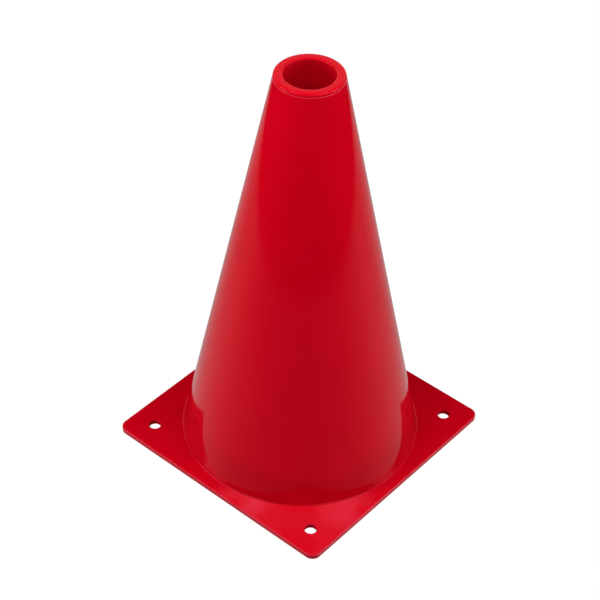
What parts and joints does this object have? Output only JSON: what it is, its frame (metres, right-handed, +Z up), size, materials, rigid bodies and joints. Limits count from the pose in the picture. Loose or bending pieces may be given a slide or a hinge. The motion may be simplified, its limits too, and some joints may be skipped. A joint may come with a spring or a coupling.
{
  "type": "traffic cone",
  "caption": "Small marking cone in soft plastic on a square foot plate, with corner peg holes and a collar at the top that takes a pole.",
  "frame": {"origin": "middle of the foot plate's underside, on the floor", "axes": "+Z up along the cone's axis to the pole hole, +X and +Y along the sides of the square foot plate"},
  "size_m": [0.14, 0.14, 0.23],
  "materials": {
    "red_plastic": "satin"
  },
  "bodies": {
    "root": {"cone_shell": "red_plastic", "base_plate": "red_plastic", "top_collar": "red_plastic"}
  },
  "joints": []
}
